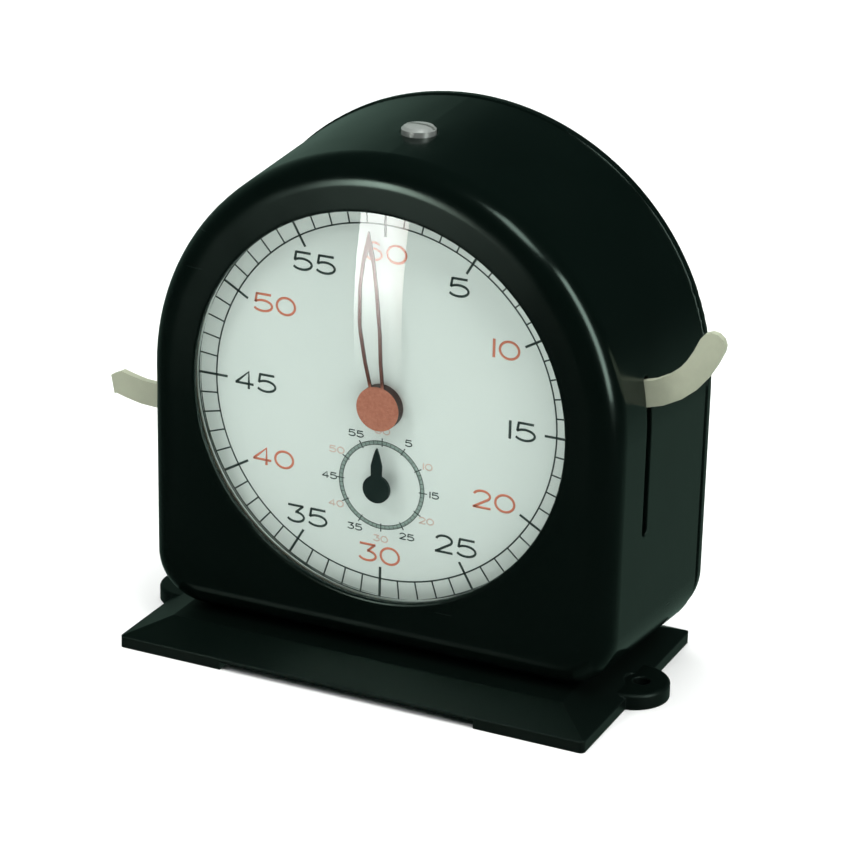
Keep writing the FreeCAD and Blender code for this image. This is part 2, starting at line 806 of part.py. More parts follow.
pad_y(lever, ly - lt / 2.0 - 0.6, ly + lt / 2.0 + 0.6, lambda s: circle(s, 4.8))
cut_y(lever, ly - lt, ly + lt, lambda s: circle(s, 2.0 + gap))
finger = new_body("brake_finger", 0.0, 0.0, PIVOT[1], -TILT)
pad_y(finger, ly + lt / 2.0, 9.2, lambda s: circle(s, 0.8, FINGER[0], FINGER[1]))

stud = new_body("lever_pivot_screw", 0.0, 0.0, PIVOT[1])
turned(stud, [(ly - lt - 0.9, ly - lt + 0.3, 3.6), (ly - lt + 0.3, py, 2.0),
              (py, py + pt, 1.4)])
cut_y(stud, ly - lt - 2.0, ly - lt - 0.3, lambda s: box(s, -4.0, 4.0, -0.4, 0.4))

detent = new_body("detent_spring")
pts_d = [(-2.0, 5.5), (-2.0, 6.0), (17.0, 15.6), (18.0, 19.5), (24.0, 19.5),
         (24.0, 13.5), (18.0, 13.5), (17.0, 15.0)]
shift = [(a, PIVOT[1] - b) for a, b in pts_d]
pad_y(detent, ly - 0.6, ly + 0.6, lambda s: outline(s, shift))
pad_y(detent, ly + 0.5, py, lambda s: circle(s, 2.6, DETENT[0], DETENT[1]))
cut_y(detent, ly - 1.0, py + 0.01, lambda s: circle(s, 1.05, DETENT[0], DETENT[1]))
detent_screw = new_body("detent_screw", DETENT[0], 0.0, DETENT[1])
turned(detent_screw, [(ly - 2.0, ly - 0.6, 2.2), (ly - 0.6, py + pt, 1.0)])
cut_y(detent_screw, ly - 3.0, ly - 1.3, lambda s: box(s, -2.6, 2.6, -0.3, 0.3))

# ------------------------------------------------------------------ hands
red_y = dy - 3.0
HAND_TURN = -4.5
sweep = new_body("seconds_hand", 0.0, 0.0, cz, HAND_TURN)
line = [(4.2, red_y + 0.2), (12.0, red_y - 1.1), (22.0, red_y - 1.7), (32.0, red_y - 1.1),
        (44.4, red_y + 0.9)]
band = [(b, a) for a, b in line] + [(q(b) + 0.45, a) for a, b in reversed(line)]
s = sketch(sweep, "YZ_Plane", -3.0)
outline(s, band)
pad(sweep, s, 6.0)
side = [(1.95, 4.0), (3.1, 21.0), (2.6, 31.0), (1.7, 38.0), (0.25, 44.0)]
core = [(1.15, 4.0), (2.25, 21.0), (1.75, 31.0), (0.9, 37.2)]
off = [(x, z) for x, z in side] + [(0.25, 46.0), (6.0, 46.0), (6.0, 4.0)]


def outside(s):
    outline(s, off)
    outline(s, [(-x, z) for x, z in reversed(off)])


cut_y(sweep, red_y - 3.0, red_y + 3.0, outside)
hollow = core + [(0.0, 40.0)] + [(-x, z) for x, z in reversed(core)]
cut_y(sweep, red_y - 3.0, red_y + 3.0, lambda s: outline(s, hollow))
pad_y(sweep, red_y, red_y + 2.6, lambda s: circle(s, 5.7))
cut_y(sweep, red_y + 0.6, red_y + 3.0, lambda s: circle(s, 1.2))

minute = new_body("minute_hand", 0.0, 0.0, MINUTE[1])
my = dy - 3.2
pad_y(minute, my, my + 0.5, lambda s: outline(
    s, [(-1.4, 2.6), (1.4, 2.6), (1.5, 6.2), (0.75, 9.0), (0.15, 10.7), (-0.15, 10.7),
        (-0.75, 9.0), (-1.5, 6.2)]))
pad_y(minute, my, my + 0.9, lambda s: circle(s, 3.6))
cut_y(minute, my + 0.5, my + 1.2, lambda s: circle(s, 0.75))

# ------------------------------------------------------------------ going train
c_ang = math.atan2(CENTRE[1].v - SECOND[1].v, CENTRE[0] - SECOND[0].v)
s_ang = math.atan2(SECOND[1].v - BARREL[1].v, SECOND[0].v - BARREL[0].v)
e_ang = math.atan2(ESCAPE[1].v - CENTRE[1].v, ESCAPE[0].v)
r_ang = math.atan2(RECORD[1].v - CENTRE[1].v, RECORD[0].v)
m_ang = math.atan2(MINUTE[1].v - RECORD[1].v, -RECORD[0].v)

centre_arbor = arbor(
    "centre_arbor", CENTRE,
    [(red_y + 0.6, -8.4, 1.15), (-8.4, -6.6, tip_radius(M_REC, 10)), (-6.6, 2.8, 1.15),
     (2.8, 4.6, tip_radius(M_SECOND, 10)), (4.6, cy + 0.6, 1.15)],
    [(M_REC, 10, -8.4, -6.6, 0.0),
     (M_SECOND, 10, 2.8, 4.6, mesh_phase(c_ang, 0.0, 60, 10))])
centre_wheel = wheel("centre_wheel", CENTRE, M_ESCAPE, 72, 18.2, 19.2, 1.15, 0.0)

second_wheel = wheel("second_wheel", SECOND, M_SECOND, 60, 3.2, 4.2, 1.0, 0.0)
second_arbor = arbor(
    "second_arbor", SECOND,
    [(0.1, 1.6, 0.6), (1.6, 5.2, 1.0), (5.2, 7.2, tip_radius(M_GREAT, 10)),
     (7.2, 19.9, 1.0), (19.9, 21.4, 0.6)],
    [(M_GREAT, 10, 5.2, 7.2, mesh_phase(s_ang, 0.0, 60, 10))])

barrel = new_body("mainspring_barrel", BARREL[0], 0.0, BARREL[1])
great_tip = tip_radius(M_GREAT, 60)
revolve(barrel, "XY_Plane", [(3.1, 5.4), (great_tip, 5.4), (great_tip, 6.9), (18.4, 6.9),
                             (18.4, 16.8), (17.6, 16.8), (17.6, 7.7), (3.1, 7.7)])
cut_teeth(barrel, M_GREAT, 60, 5.4, 6.9, 0.0)
lid = new_body("barrel_lid", BARREL[0], 0.0, BARREL[1])
pad_y(lid, 15.9, 16.7, ring(17.5, 3.1))

barrel_arbor = arbor("barrel_arbor", BARREL,
                     [(0.1, 5.3, 1.5), (5.3, 7.9, 3.0), (7.9, 15.7, 4.0), (15.7, 17.4, 3.0),
                      (17.4, cy - 1.0, 2.0)])

# mainspring: a flat strip wound in a spiral between the arbor and the drum
turns = 7.0
count = int(turns * 30)
inner = []
outer = []
for i in range(count + 1):
    f = i / float(count)
    a = 2 * math.pi * turns * f
    r = 4.7 + (17.0 - 4.7) * f
    inner.append(V((r - 0.25) * math.cos(a), 8.4, (r - 0.25) * math.sin(a)))
    outer.append(V((r + 0.25) * math.cos(a), 8.4, (r + 0.25) * math.sin(a)))
loop = inner + list(reversed(outer)) + [inner[0]]
spiral = Part.Face(Part.makePolygon(loop)).extrude(V(0, 6.6, 0))
mainspring = doc.addObject("Part::Feature", "mainspring")
mainspring.Label = "mainspring"
mainspring.Shape = spiral
mainspring.Placement = FreeCAD.Placement(V(BARREL[0].v, 0, BARREL[1].v), FreeCAD.Rotation())

ratchet = new_body("ratchet_wheel", BARREL[0], 0.0, BARREL[1])
r_n = 20
rt = 7.4
pad_y(ratchet, 22.0, 23.4, ring(rt, 2.02))
s = front_sketch(ratchet, 22.0)
step = 2 * math.pi / r_n
outline(s, [polar_point(rt - 1.1, 0.0), polar_point(rt + 0.5, 0.0),
            polar_point(rt + 0.5, step * 0.82)])
f = pocket(ratchet, s, 1.4)
polar(ratchet, f, r_n, s)

click = new_body("click", CLICK[0], 0.0, CLICK[1])
nose = math.atan2(BARREL[1].v - CLICK[1].v, BARREL[0].v - CLICK[0].v)
side_a = nose + math.radians(42.0)
tipx, tipz = 5.6 * math.cos(side_a), 5.6 * math.sin(side_a)
ux, uz = -math.sin(side_a), math.cos(side_a)
pts_k = [(1.9 * ux, 1.9 * uz), (-1.9 * ux, -1.9 * uz), (tipx - 0.5 * ux, tipz - 0.5 * uz),
         (tipx + 0.5 * ux, tipz + 0.5 * uz)]
pad_y(click, 22.0, 23.2, lambda s: outline(s, [pts_k[0], pts_k[3], pts_k[2], pts_k[1]]))
pad_y(click, 22.0, 23.2, lambda s: circle(s, 2.2))
cut_y(click, 21.0, 24.0, lambda s: circle(s, 1.25))
click_stud = new_body("click_screw", CLICK[0], 0.0, CLICK[1])
turned(click_stud, [(by, by + pt, 0.95), (by + pt, 23.35, 1.2), (23.35, 24.5, 2.1)])
cut_y(click_stud, 24.0, 25.0, lambda s: box(s, -2.5, 2.5, -0.25, 0.25))
click_spring = new_body("click_spring", SPRING_AT[0], 0.0, SPRING_AT[1])
pad_y(click_spring, 21.5, 22.9, lambda s: circle(s, 2.0))
pad_y(click_spring, 22.2, 22.9, lambda s: outline(
    s, [(-0.6, 1.4), (-0.2, 1.4), (5.2, 3.9), (5.0, 4.4)]))
pad_y(click_spring, by, 21.5, lambda s: circle(s, 0.95))

escape_wheel = new_body("escape_wheel", ESCAPE[0], 0.0, ESCAPE[1])
er = 8.0
pad_y(escape_wheel, 13.4, 14.4, ring(er, 1.0))
s = front_sketch(escape_wheel, 13.4)
e_step = 2 * math.pi / 20
outline(s, [polar_point(er - 1.8, 0.05), polar_point(er + 0.4, 0.035),
            polar_point(er + 0.4, e_step * 0.97), polar_point(er - 1.6, e_step * 0.55)])
f = pocket(escape_wheel, s, 1.0)
polar(escape_wheel, f, 20, s)
s = front_sketch(escape_wheel, 13.4)
outline(s, [polar_point(2.6, -0.35), polar_point(5.2, -0.6), polar_point(5.2, 0.6),
            polar_point(2.6, 0.35)], {1: (5.2, True), 3: (2.6, False)})
f = pocket(escape_wheel, s, 1.0)
polar(escape_wheel, f, 4, s)
escape_arbor = arbor(
    "escape_arbor", ESCAPE,
    [(0.1, 1.6, 0.6), (1.6, 17.8, 1.0), (17.8, 19.6, tip_radius(M_ESCAPE, 12)),
     (19.6, 21.4, 0.6)],
    [(M_ESCAPE, 12, 17.8, 19.6, mesh_phase(e_ang, 0.0, 72, 12))])

# pallet lever with two pins that stand just off the escape teeth
pallet = new_body("pallet_lever", PALLET[0], 0.0, PALLET[1])
to_e = math.atan2(ESCAPE[1].v - PALLET[1].v, ESCAPE[0].v - PALLET[0].v)
to_b = math.atan2(BALANCE[1].v - PALLET[1].v, BALANCE[0].v - PALLET[0].v)
ex = ESCAPE[0].v - PALLET[0].v
ez = ESCAPE[1].v - PALLET[1].v
back_a = math.atan2(-ez, -ex)
pins = []
for d in (-38.0, 38.0):
    a = back_a + math.radians(d)
    pins.append((ex + 8.7 * math.cos(a), ez + 8.7 * math.sin(a)))


def bar(s, x0, z0, x1, z1, h0, h1):
    run = math.hypot(x1 - x0, z1 - z0)
    nx = -(z1 - z0) / run
    nz = (x1 - x0) / run
    outline(s, [(x0 - h0 * nx, z0 - h0 * nz), (x1 - h1 * nx, z1 - h1 * nz),
                (x1 + h1 * nx, z1 + h1 * nz), (x0 + h0 * nx, z0 + h0 * nz)])


pad_y(pallet, 15.2, 16.0, lambda s: circle(s, 2.0))
for ax, az in pins:
    pad_y(pallet, 15.2, 16.0, lambda s: bar(s, 0.0, 0.0, ax, az, 0.7, 0.6))
pad_y(pallet, 15.2, 16.0, lambda s: bar(s, 0.0, 0.0, 11.2 * math.cos(to_b),
                                        11.2 * math.sin(to_b), 0.9, 0.6))
pad_y(pallet, 13.3, 15.3, lambda s: [circle(s, 0.3, ax, az) for ax, az in pins])
pad_y(pallet, 0.1, 21.4, lambda s: circle(s, 0.6))

balance = new_body("balance_wheel", BALANCE[0], 0.0, BALANCE[1])
pad_y(balance, 8.0, 9.2, ring(11.0, 9.6))
pad_y(balance, 8.2, 9.0, lambda s: box(s, -9.8, 9.8, -0.9, 0.9))
pad_y(balance, 8.0, 9.2, lambda s: circle(s, 2.4))
balance_staff = arbor("balance_staff", BALANCE,
                      [(0.1, 1.6, 0.5), (1.6, 15.0, 0.97), (15.0, 16.2, 2.4),
                       (16.2, 19.9, 1.0), (19.9, 21.4, 0.5)])
cut_y(balance, 7.0, 10.0, lambda s: circle(s, 1.0))

turns = 5.0
count = int(turns * 30)
inner = []
outer = []
for i in range(count + 1):
    f = i / float(count)
    a = 2 * math.pi * turns * f
    r = 1.3 + (6.6 - 1.3) * f
    inner.append(V((r - 0.12) * math.cos(a), 11.2, (r - 0.12) * math.sin(a)))
    outer.append(V((r + 0.12) * math.cos(a), 11.2, (r + 0.12) * math.sin(a)))
loop = inner + list(reversed(outer)) + [inner[0]]
hair = Part.Face(Part.makePolygon(loop)).extrude(V(0, 0.6, 0))
hairspring = doc.addObject("Part::Feature", "hairspring")
hairspring.Label = "hairspring"
hairspring.Shape = hair
hairspring.Placement = FreeCAD.Placement(V(BALANCE[0].v, 0, BALANCE[1].v),
                                         FreeCAD.Rotation())

# ------------------------------------------------------------------ minute recorder
rec_wheel = wheel("recorder_wheel", RECORD, M_REC, 75, -7.9, -7.1, 1.0,
                  mesh_phase(r_ang, 0.0, 10, 75))
rec_arbor = arbor(
    "recorder_arbor", RECORD,
    [(-13.4, -11.8, tip_radius(M_MIN, 8)), (-11.8, -9.2, 0.6), (-9.2, -0.1, 1.0),
     (-0.1, 1.4, 0.6)],
    [(M_MIN, 8, -13.4, -11.8, 0.0)])
min_wheel = wheel("minute_wheel", MINUTE, M_MIN, 64, -13.0, -12.2, 0.75,
                  mesh_phase(m_ang, 0.0, 8, 64))
min_arbor = arbor("minute_arbor", MINUTE,
                  [(my + 0.5, -10.5, 0.75), (-10.5, -9.0, 0.6), (-9.0, -8.6, 1.0)])

bridge = new_body("recorder_bridge")
pts_r = [(POSTS[1][0] - 3.0, cz - 31.5), (11.0, cz - 30.5), (11.0, cz - 23.0), (4.0, cz - 16.5),
         (-12.0, cz - 11.0), (-19.0, cz - 12.5), (-27.0, cz - 24.0), (-35.0, cz - 25.0)]
pad_y(bridge, -10.4, -9.4, lambda s: outline(s, pts_r))


def bridge_holes(s):
    circle(s, 0.6 + gap, RECORD[0], RECORD[1])
    circle(s, 0.6 + gap, 0.0, MINUTE[1])
    for x, z in POSTS:
        circle(s, 1.0, x, z)


cut_y(bridge, -11.0, -9.0, bridge_holes)
posts = new_body("bridge_posts")
pad_y(posts, -9.4, py, many(1.7, POSTS))
pad_y(posts, py - 0.01, py + pt, many(1.0, POSTS))
cut_y(posts, -9.5, -5.5, many(0.8, POSTS))
post_screws = new_body("bridge_screws")
pad_y(post_screws, -10.4, -6.4, many(0.78, POSTS))
pad_y(post_screws, -11.4, -10.4, many(1.8, POSTS))
cut_y(post_screws, -12.0, -10.9, slots(0.22, 2.2, POSTS))

# ------------------------------------------------------------------ key and set knob
key = new_body("winding_key", BARREL[0], 0.0, BARREL[1])
pad_y(key, cy - 5.6, cy + 4.0, ring(2.8, 2.02))
pad_y(key, cy + 0.6, cy + 4.6, lambda s: circle(s, 4.2))
s = sketch(key, "XY_Plane", -0.9)
outline(s, [(-4.0, cy + 2.0), (4.0, cy + 2.0), (12.0, cy + 6.5), (13.5, cy + 10.5),
            (11.0, cy + 13.5), (6.0, cy + 12.5), (2.0, cy + 8.0), (-2.0, cy + 8.0),
            (-6.0, cy + 12.5), (-11.0, cy + 13.5), (-13.5, cy + 10.5), (-12.0, cy + 6.5)])
pad(key, s, 1.8)
cut_y(key, cy - 6.0, cy - 0.9, lambda s: circle(s, 2.02))

knob = new_body("set_knob", 0.0, 0.0, cz)
pad_y(knob, cy - 2.5, cy + 1.0, ring(2.2, 1.17))
pad_y(knob, cy + 0.8, cy + 8.0, lambda s: circle(s, 7.0))
soften(knob, 0.8, round_edge(7.0, NUM["rear_y"] + NUM["cover_t"] + 8.0))
s = front_sketch(knob, cy + 0.8)
circle(s, 0.45, 7.1, 0.0)
f = pocket(knob, s, 7.2)
polar(knob, f, 30, s)

# ------------------------------------------------------------------ checks and export
doc.recompute()
faults = []
for obj in doc.Objects:
    bad = [w for w in obj.State if w in ("Invalid", "Error")]
    if bad:
        faults.append("%s (%s): %s" % (obj.Name, obj.Label, bad))
nodes = [o for o in doc.Objects if o.TypeId == "PartDesign::Body"]
nodes += [o for o in doc.Objects if o.TypeId == "Part::Feature"]
for obj in nodes:
    if obj.Shape.isNull() or not obj.Shape.isValid() or not obj.Shape.Solids:
        faults.append("bad shape: " + obj.Label)
if faults:
    raise RuntimeError("; ".join(faults[:20]))
os.makedirs("parts", exist_ok=True)
for obj in nodes:
    obj.Shape.exportStep("parts/%s.step" % obj.Label)
    print("%-20s %2d solid %10.2f mm3" % (obj.Label, len(obj.Shape.Solids), obj.Shape.Volume))
print("nodes", len(nodes))
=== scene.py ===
import math

import bmesh
import bpy
from mathutils import Matrix, Vector


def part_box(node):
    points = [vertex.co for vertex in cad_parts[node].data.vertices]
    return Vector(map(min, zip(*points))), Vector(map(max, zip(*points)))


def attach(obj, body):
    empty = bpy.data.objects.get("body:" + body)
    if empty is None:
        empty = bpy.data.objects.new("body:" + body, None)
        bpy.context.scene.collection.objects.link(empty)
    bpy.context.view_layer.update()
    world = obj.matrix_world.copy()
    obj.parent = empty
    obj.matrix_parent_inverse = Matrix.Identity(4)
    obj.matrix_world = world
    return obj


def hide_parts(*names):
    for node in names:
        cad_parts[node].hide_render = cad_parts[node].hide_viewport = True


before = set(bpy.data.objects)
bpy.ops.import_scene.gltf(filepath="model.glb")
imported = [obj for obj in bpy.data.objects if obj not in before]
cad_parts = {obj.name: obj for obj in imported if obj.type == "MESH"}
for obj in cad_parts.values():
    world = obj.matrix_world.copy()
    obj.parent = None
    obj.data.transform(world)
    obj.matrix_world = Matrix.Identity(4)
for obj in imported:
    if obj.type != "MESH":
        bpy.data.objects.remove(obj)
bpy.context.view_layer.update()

scene = bpy.context.scene
MM = 0.001


# ---------------------------------------------------------------- bench and light
# A pale matt bench top that runs out of view on every side, under soft boxes:
# a broad one overhead and one high at each side. An upright lit card in front
# on the left is a window, which the domed glass mirrors as a bright band.
def shader_node(tree, kind, **sockets):
    """A new node whose named inputs are plain values or links."""
    made = tree.nodes.new(kind)
    for name, value in sockets.items():
        socket = made.inputs[name.replace("_", " ")]
        if isinstance(value, bpy.types.NodeSocket):
            tree.links.new(value, socket)
        else:
            socket.default_value = value
    return made


def maths(tree, operation, *values):
    """The result of one Math node, from plain values or links."""
    made = tree.nodes.new("ShaderNodeMath")
    made.operation = operation
    for socket, value in zip(made.inputs, values):
        if isinstance(value, bpy.types.NodeSocket):
            tree.links.new(value, socket)
        else:
            socket.default_value = value
    return made.outputs[0]


def remap(tree, value, low, high, to_low=0.0, to_high=1.0):
    """A value carried from one range to another and held inside it."""
    made = shader_node(tree, "ShaderNodeMapRange", Value=value)
    for name, number in (("From Min", low), ("From Max", high), ("To Min", to_low), ("To Max", to_high)):
        made.inputs[name].default_value = number
    return made.outputs["Result"]


def tint(tree, factor, first, second):
    """A colour that goes from first to second with the factor."""
    made = tree.nodes.new("ShaderNodeMix")
    made.data_type = "RGBA"
    tree.links.new(factor, made.inputs["Factor"])
    for socket, colour in ((made.inputs["A"], first), (made.inputs["B"], second)):
        if isinstance(colour, bpy.types.NodeSocket):
            tree.links.new(colour, socket)
        else:
            socket.default_value = (*colour, 1.0)
    return made.outputs["Result"]


def new_material(name, **plain):
    """A material with one Principled shader, its plain values already set."""
    material = bpy.data.materials.new(name)
    material.use_nodes = True
    surface = material.node_tree.nodes["Principled BSDF"]
    for socket, value in plain.items():
        surface.inputs[socket.replace("_", " ")].default_value = value
    return material, material.node_tree, surface


def place_on(tree):
    return tree.nodes.new("ShaderNodeTexCoord").outputs["Object"]


def noise_on(tree, vector, scale, detail=3.0, roughness=0.5):
    return shader_node(
        tree, "ShaderNodeTexNoise", Vector=vector, Scale=scale, Detail=detail, Roughness=roughness
    ).outputs["Fac"]


def feed(tree, shader, **outputs):
    """Links what changes over the surface to a shader's named inputs."""
    for name, output in outputs.items():
        tree.links.new(output, shader.inputs[name.replace("_", " ")])


def bumped(tree, surface, height, strength, distance, normal=None):
    """Fine relief in the shading, on top of an already softened normal where one is given."""
    made = shader_node(tree, "ShaderNodeBump", Height=height, Strength=strength, Distance=distance)
    if normal is not None:
        tree.links.new(normal, made.inputs["Normal"])
    feed(tree, surface, Normal=made.outputs["Normal"])


bench_paint, tree, surface = new_material("bench_paint", Roughness=0.75, Specular_IOR_Level=0.2)
mottle = noise_on(tree, place_on(tree), 9.0, 4.0)
feed(tree, surface, Base_Color=tint(tree, mottle, (0.90, 0.91, 0.90), (0.93, 0.94, 0.93)))
bumped(tree, surface, mottle, 0.05, 0.001)

BENCH_HALF = 6.0
shape = bmesh.new()
bmesh.ops.create_grid(shape, x_segments=2, y_segments=2, size=BENCH_HALF)
bench_mesh = bpy.data.meshes.new("bench")
shape.to_mesh(bench_mesh)
shape.free()
bench = bpy.data.objects.new("bench", bench_mesh)
bench_mesh.materials.append(bench_paint)
bench.visible_glossy = bench.visible_transmission = False
scene.collection.objects.link(bench)

room = bpy.data.worlds.new("room")
scene.world = room
room.use_nodes = True
tree = room.node_tree
facing = tree.nodes.new("ShaderNodeSeparateXYZ")
tree.links.new(tree.nodes.new("ShaderNodeTexCoord").outputs["Generated"], facing.inputs[0])
DARK_ROOM, LIT_WALL, PALE_WALL = (0.018, 0.030, 0.026), (0.12, 0.19, 0.155), (0.98, 0.985, 0.98)
behind = remap(tree, facing.outputs["Y"], -0.1, 0.8)
slanted = maths(tree, "MULTIPLY_ADD", facing.outputs["X"], 0.6, facing.outputs["Z"])
low_down = remap(tree, slanted, 0.35, -0.10)
mirrored_room = tint(tree, maths(tree, "MULTIPLY", behind, low_down), DARK_ROOM, LIT_WALL)
seen = tree.nodes.new("ShaderNodeLightPath").outputs["Is Camera Ray"]
feed(tree, tree.nodes["Background"], Color=tint(tree, seen, mirrored_room, PALE_WALL))
scene.view_settings.view_transform = "Standard"


def soft_box(name, place, aim, wide, tall, watts, mirrored=True):
    """An area lamp turned to face its aim. One that isn't mirrored gives no glint."""
    lamp = bpy.data.lights.new(name, "AREA")
    lamp.shape = "RECTANGLE"
    lamp.size, lamp.size_y = wide, tall
    lamp.energy = watts
    held = bpy.data.objects.new(name, lamp)
    scene.collection.objects.link(held)
    held.location = place
    held.rotation_mode = "QUATERNION"
    held.rotation_quaternion = (Vector(aim) - Vector(place)).to_track_quat("-Z", "Y")
    held.visible_glossy = mirrored


DIAL_Z = 0.071
soft_box("overhead_box", (0.0, 0.1, 1.5), (0.0, 0.0, 0.0), 1.6, 1.6, 41.0, mirrored=False)
soft_box("left_box", (-0.95, -0.95, 1.05), (0.0, -0.02, 0.06), 0.4, 0.4, 8.0, mirrored=False)
soft_box("right_strip", (0.97, -0.26, 0.42), (0.0, -0.02, 0.07), 0.26, 0.86, 4.5)
soft_box("high_strip", (0.46, -0.40, 1.00), (0.0, -0.02, 0.10), 0.26, 0.36, 1.6)

# the window card, bright at its top left and fading to the right and downwards
WINDOW_LEFT, WINDOW_RIGHT, WINDOW_Y = -0.457, -0.324, -0.90
WINDOW_FOOT, WINDOW_TOP, WINDOW_GLOW = -0.300, 0.205, 13.0
window_light = bpy.data.materials.new("window_light")
window_light.use_nodes = True
tree = window_light.node_tree
tree.nodes.remove(tree.nodes["Principled BSDF"])
on_card = shader_node(tree, "ShaderNodeSeparateXYZ", Vector=place_on(tree))
rightwards = remap(tree, on_card.outputs["X"], -0.372, WINDOW_RIGHT)
brightening = maths(tree, "POWER", remap(tree, on_card.outputs["Z"], -0.28, 0.02), 3.0)
glow = shader_node(tree, "ShaderNodeEmission")
feed(tree, glow, Color=tint(tree, rightwards, (1.0, 1.0, 0.98), (0.62, 0.54, 0.51)),
     Strength=maths(tree, "MULTIPLY", brightening, WINDOW_GLOW))
feed(tree, tree.nodes["Material Output"], Surface=glow.outputs[0])

shape = bmesh.new()
bmesh.ops.create_grid(shape, x_segments=1, y_segments=1, size=0.5)
bmesh.ops.rotate(shape, verts=shape.verts, matrix=Matrix.Rotation(math.radians(90), 3, "X"))
bmesh.ops.scale(shape, verts=shape.verts,
                vec=(WINDOW_RIGHT - WINDOW_LEFT, 1.0, WINDOW_TOP - WINDOW_FOOT))
bmesh.ops.translate(shape, verts=shape.verts,
                    vec=((WINDOW_LEFT + WINDOW_RIGHT) / 2, WINDOW_Y, (WINDOW_FOOT + WINDOW_TOP) / 2))
window_mesh = bpy.data.meshes.new("window_card")
shape.to_mesh(window_mesh)
shape.free()
window_mesh.materials.append(window_light)
window_card = bpy.data.objects.new("window_card", window_mesh)
scene.collection.objects.link(window_card)
window_card.visible_camera = window_card.visible_diffuse = window_card.visible_shadow = False
window_card.visible_transmission = False

DIAL_FACE_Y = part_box("dial_plate")[0].y
AZIMUTH, ELEVATION, ROLL = math.radians(24.945), math.radians(21.308), math.radians(1.214)
LENS, SENSOR, DISTANCE = 129.3, 36.0, 0.74169
camera_data = bpy.data.cameras.new("camera")
camera_data.lens, camera_data.sensor_width = LENS, SENSOR
camera_data.clip_start, camera_data.clip_end = 0.05, 30.0
camera = bpy.data.objects.new("camera", camera_data)
scene.collection.objects.link(camera)
backwards = Vector((math.sin(AZIMUTH) * math.cos(ELEVATION),
                    -math.cos(AZIMUTH) * math.cos(ELEVATION), math.sin(ELEVATION)))
sideways = (-backwards).cross(Vector((0, 0, 1))).normalized()
upwards = sideways.cross(-backwards)
leaning = sideways * math.cos(ROLL) + upwards * math.sin(ROLL)
standing = upwards * math.cos(ROLL) - sideways * math.sin(ROLL)
looks_at = Vector((0.011215, DIAL_FACE_Y, DIAL_Z - 0.003239))
camera.matrix_world = Matrix.Translation(looks_at + backwards * DISTANCE) @ Matrix(
    (leaning, standing, backwards)).transposed().to_4x4()
scene.camera = camera


# ---------------------------------------------------------------- shared surface effects
# Effects that more than one finish shows: the faint haze of handling, the
# rings that a lathe leaves round a part's axis, and a straight rolled grain.
def effect_group(name, inputs, outputs):
    """A shader node group with its sockets, and its two end nodes."""
    group = bpy.data.node_groups.new(name, "ShaderNodeTree")
    for label, kind, value in inputs:
        socket = group.interface.new_socket(label, in_out="INPUT", socket_type=kind)
        socket.default_value = value
    for label, kind in outputs:
        group.interface.new_socket(label, in_out="OUTPUT", socket_type=kind)
    return group, group.nodes.new("NodeGroupInput"), group.nodes.new("NodeGroupOutput")


handling, given, gives = effect_group(
    "handling",
    [("Vector", "NodeSocketVector", (0, 0, 0)), ("Scale", "NodeSocketFloat", 40.0)],
    [("Haze", "NodeSocketFloat"), ("Scratches", "NodeSocketFloat")],
)
smear = noise_on(handling, given.outputs["Vector"], given.outputs["Scale"], 5.0, 0.6)
feed(handling, gives, Haze=remap(handling, smear, 0.42, 0.72))
streaked = shader_node(handling, "ShaderNodeMapping", Vector=given.outputs["Vector"])
streaked.inputs["Rotation"].default_value = (0.5, 0.7, 0.35)
streaked.inputs["Scale"].default_value = (1.0, 1.0, 40.0)
scratch = noise_on(handling, streaked.outputs[0],
                   maths(handling, "MULTIPLY", given.outputs["Scale"], 1.5), 2.0, 0.4)
feed(handling, gives, Scratches=remap(handling, scratch, 0.70, 0.78))

lathe_rings, given, gives = effect_group(
    "lathe_rings",
    [("Vector", "NodeSocketVector", (0, 0, 0)), ("Centre", "NodeSocketVector", (0, 0, 0)),
     ("Rings per metre", "NodeSocketFloat", 5000.0)],
    [("Height", "NodeSocketFloat")],
)
offset = lathe_rings.nodes.new("ShaderNodeVectorMath")
offset.operation = "SUBTRACT"
lathe_rings.links.new(given.outputs["Vector"], offset.inputs[0])
lathe_rings.links.new(given.outputs["Centre"], offset.inputs[1])
apart = shader_node(lathe_rings, "ShaderNodeSeparateXYZ", Vector=offset.outputs[0])
squares = [maths(lathe_rings, "POWER", apart.outputs[axis], 2.0) for axis in ("X", "Z")]
radius = maths(lathe_rings, "SQRT", maths(lathe_rings, "ADD", *squares))
cut = lathe_rings.nodes.new("ShaderNodeTexNoise")
cut.noise_dimensions = "1D"
feed(lathe_rings, cut, W=maths(lathe_rings, "MULTIPLY", radius, given.outputs["Rings per metre"]))
cut.inputs["Scale"].default_value = 1.0
cut.inputs["Detail"].default_value = 2.0
feed(lathe_rings, gives, Height=cut.outputs["Fac"])

rolled_grain, given, gives = effect_group(
    "rolled_grain",
    [("Vector", "NodeSocketVector", (0, 0, 0)), ("Stretch", "NodeSocketVector", (60, 2500, 2500))],
    [("Height", "NodeSocketFloat")],
)
drawn = shader_node(rolled_grain, "ShaderNodeVectorMath")
drawn.operation = "MULTIPLY"
rolled_grain.links.new(given.outputs["Vector"], drawn.inputs[0])
rolled_grain.links.new(given.outputs["Stretch"], drawn.inputs[1])
feed(rolled_grain, gives, Height=noise_on(rolled_grain, drawn.outputs[0], 1.0, 3.0))


def effect(tree, group, **sockets):
    """Places a shared effect in a material, with its own values."""
    made = tree.nodes.new("ShaderNodeGroup")
    made.node_tree = group
    for name, value in sockets.items():
        socket = made.inputs[name.replace("_", " ")]
        if isinstance(value, bpy.types.NodeSocket):
            tree.links.new(value, socket)
        else:
            socket.default_value = value
    return made


def coat(node_name, material):
    """Gives a CAD node its finish."""
    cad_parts[node_name].material_slots[0].material = material


